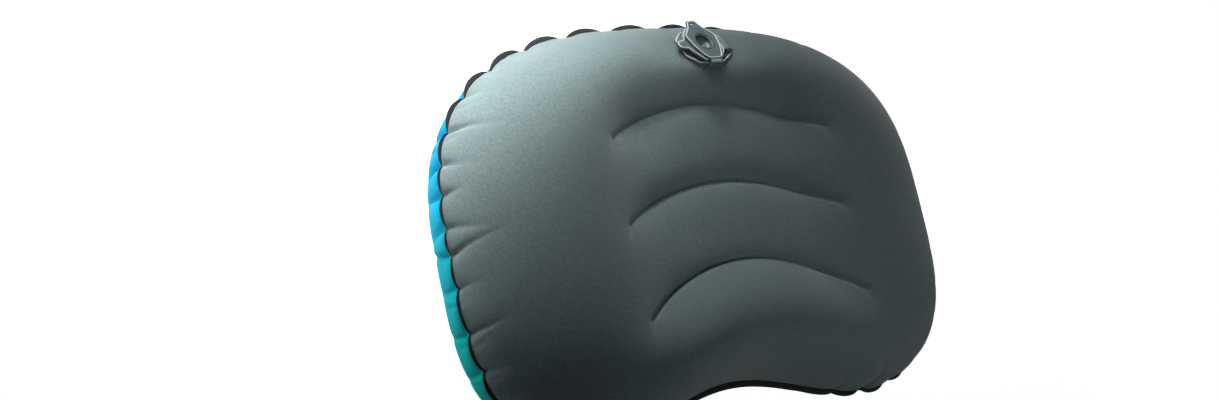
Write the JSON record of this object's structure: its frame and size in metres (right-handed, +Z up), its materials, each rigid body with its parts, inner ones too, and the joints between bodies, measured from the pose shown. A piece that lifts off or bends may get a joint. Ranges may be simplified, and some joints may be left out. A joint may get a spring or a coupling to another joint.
{
  "type": "camp pillow",
  "caption": "Inflatable kidney-shaped camp pillow: welded fabric panels with curved inner baffles and a two-flap air valve; it cradles the head of someone lying down.",
  "frame": {"origin": "middle of the pillow's box, on the surface that it rests on", "axes": "+Z up, out of the grey back panel with the valve; +X along the pillow's length; +Y towards the long convex edge, so the shoulder notch faces -Y; the face panel lies down"},
  "size_m": [0.422, 0.2864, 0.1218],
  "materials": {
    "face_fabric": "coated stretch knit, blue running into green",
    "back_fabric": "coated brushed stretch knit, slate grey with a soft sheen",
    "flange_fabric": "welded fabric margin, dark and slightly shiny",
    "baffle_fabric": "coated plain weave",
    "valve_plastic": "soft translucent grey polyurethane, satin",
    "check_silicone": "soft clear silicone"
  },
  "bodies": {
    "pillow": {"back_panel": "back_fabric", "face_panel": "face_fabric", "perimeter_flange": "flange_fabric", "rear_baffle": "baffle_fabric", "middle_baffle": "baffle_fabric", "front_baffle": "baffle_fabric", "valve_doubler": "flange_fabric", "valve_base": "valve_plastic"},
    "deflate_flap": {"deflate_flap": "valve_plastic", "deflate_hinge": "valve_plastic", "valve_cage": "valve_plastic"},
    "inflate_flap": {"inflate_flap": "valve_plastic", "inflate_hinge": "valve_plastic"},
    "check_valve": {"check_disc": "check_silicone", "release_stem": "valve_plastic"}
  },
  "joints": [
    {"name": "deflate_flap_hinge", "type": "hinge", "parent": "pillow", "child": "deflate_flap", "pos_m": [0.02297, 0.11459, 0.10693], "axis": [-0.0523, 0.8991, -0.4346], "range_deg": [0, 125]},
    {"name": "inflate_flap_hinge", "type": "hinge", "parent": "deflate_flap", "child": "inflate_flap", "pos_m": [0.00297, 0.09761, 0.11703], "axis": [0.9986, 0.0471, -0.0228], "range_deg": [0, 150]},
    {"name": "check_valve_slide", "type": "slide", "parent": "deflate_flap", "child": "check_valve", "axis": [0, -0.4352, -0.9003], "range_m": [0, 0.0015], "stiffness_N_per_m": 100, "springref_m": -0.0005}
  ]
}
